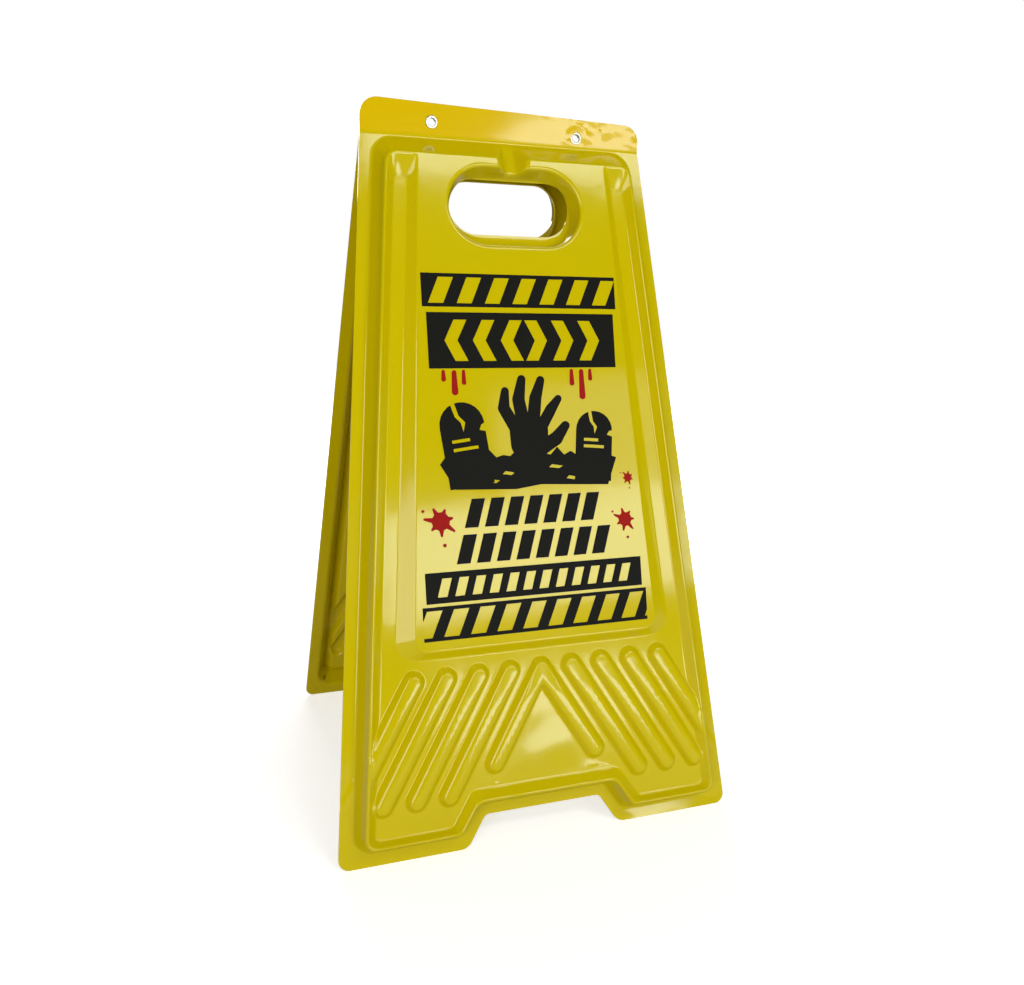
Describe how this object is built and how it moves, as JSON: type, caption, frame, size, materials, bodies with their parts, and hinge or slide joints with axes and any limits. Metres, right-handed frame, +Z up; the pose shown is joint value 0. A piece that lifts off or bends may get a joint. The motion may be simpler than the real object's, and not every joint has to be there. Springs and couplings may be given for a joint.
{
  "type": "folding floor sign",
  "caption": "Folding A-frame warning sign of vacuum-formed yellow sheet: its leaves have a grip hole, a printed panel and a ribbed foot, are riveted at the top and fold at a crease.",
  "frame": {"origin": "on the floor, midway between the feet of the two leaves, under the crease", "axes": "+Z up, +X across the sign's width, and the printed front leaf faces -Y"},
  "size_m": [0.3484, 0.338, 0.6026],
  "materials": {
    "yellow_sheet": "glossy vacuum-formed polystyrene sheet",
    "nickel_rivet": "nickel-plated hollow rivet",
    "black_ink": "satin screen-printed ink",
    "red_ink": "satin screen-printed ink"
  },
  "bodies": {
    "top_band": {"front_top_band": "yellow_sheet", "rear_top_band": "yellow_sheet", "left_rivet": "nickel_rivet", "right_rivet": "nickel_rivet"},
    "front_leaf": {"front_leaf": "yellow_sheet", "print_black": "black_ink", "print_red": "red_ink"},
    "rear_leaf": {"rear_leaf": "yellow_sheet"}
  },
  "joints": [
    {"name": "front_crease", "type": "hinge", "parent": "top_band", "child": "front_leaf", "pos_m": [0, -0.00075, 0.575], "axis": [1, 0, 0], "range_deg": [0, 14.5]},
    {"name": "rear_crease", "type": "hinge", "parent": "top_band", "child": "rear_leaf", "pos_m": [0, 0.00075, 0.575], "axis": [1, 0, 0], "range_deg": [-14.5, 0]}
  ]
}
